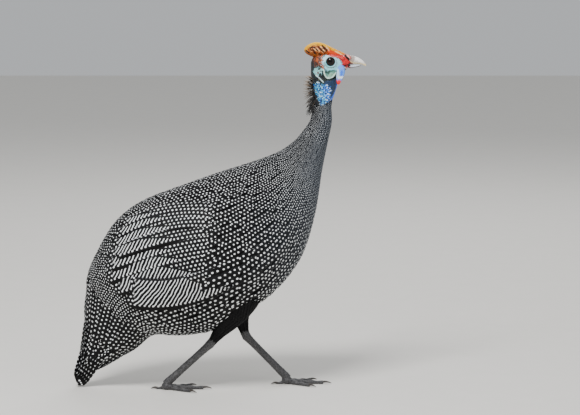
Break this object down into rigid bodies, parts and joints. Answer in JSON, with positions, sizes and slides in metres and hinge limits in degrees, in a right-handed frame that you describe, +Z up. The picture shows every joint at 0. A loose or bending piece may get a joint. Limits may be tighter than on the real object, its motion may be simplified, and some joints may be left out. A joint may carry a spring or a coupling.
{
  "type": "helmeted guinea fowl",
  "caption": "Life-size walking guinea fowl with a raised bare head, bony helmet, hanging wattles, spotted plumage, folded wings and a drooped tail.",
  "frame": {"origin": "on the floor under the middle of the bird's bounding box", "axes": "+X towards the bill, +Y towards the bird's left side, +Z up"},
  "size_m": [0.3517, 0.1508, 0.4184],
  "materials": {
    "plumage": "black feathers with round white spots, white bars on the wing",
    "skin": "bare pale blue skin, red over the bill's root",
    "wattle_skin": "soft pale blue skin with a red tip",
    "casque_horn": "rough yellow-orange horn over bone, brown at its sides",
    "bill_horn": "smooth pale horn, red-brown at its root",
    "eye": "dark brown wet eye",
    "leg_scale": "dark grey scaled skin with blunt claws"
  },
  "bodies": {
    "root": {"head": "skin", "neck": "plumage", "torso": "plumage", "casque": "casque_horn", "bill_upper": "bill_horn", "bill_lower": "bill_horn", "eye_right": "eye", "eye_left": "eye", "wattle_right": "wattle_skin", "wattle_left": "wattle_skin", "wing_right": "plumage", "wing_left": "plumage", "tail": "plumage", "thigh_right": "plumage", "thigh_left": "plumage", "shank_right": "leg_scale", "shank_left": "leg_scale", "foot_right": "leg_scale", "foot_left": "leg_scale"}
  },
  "joints": []
}
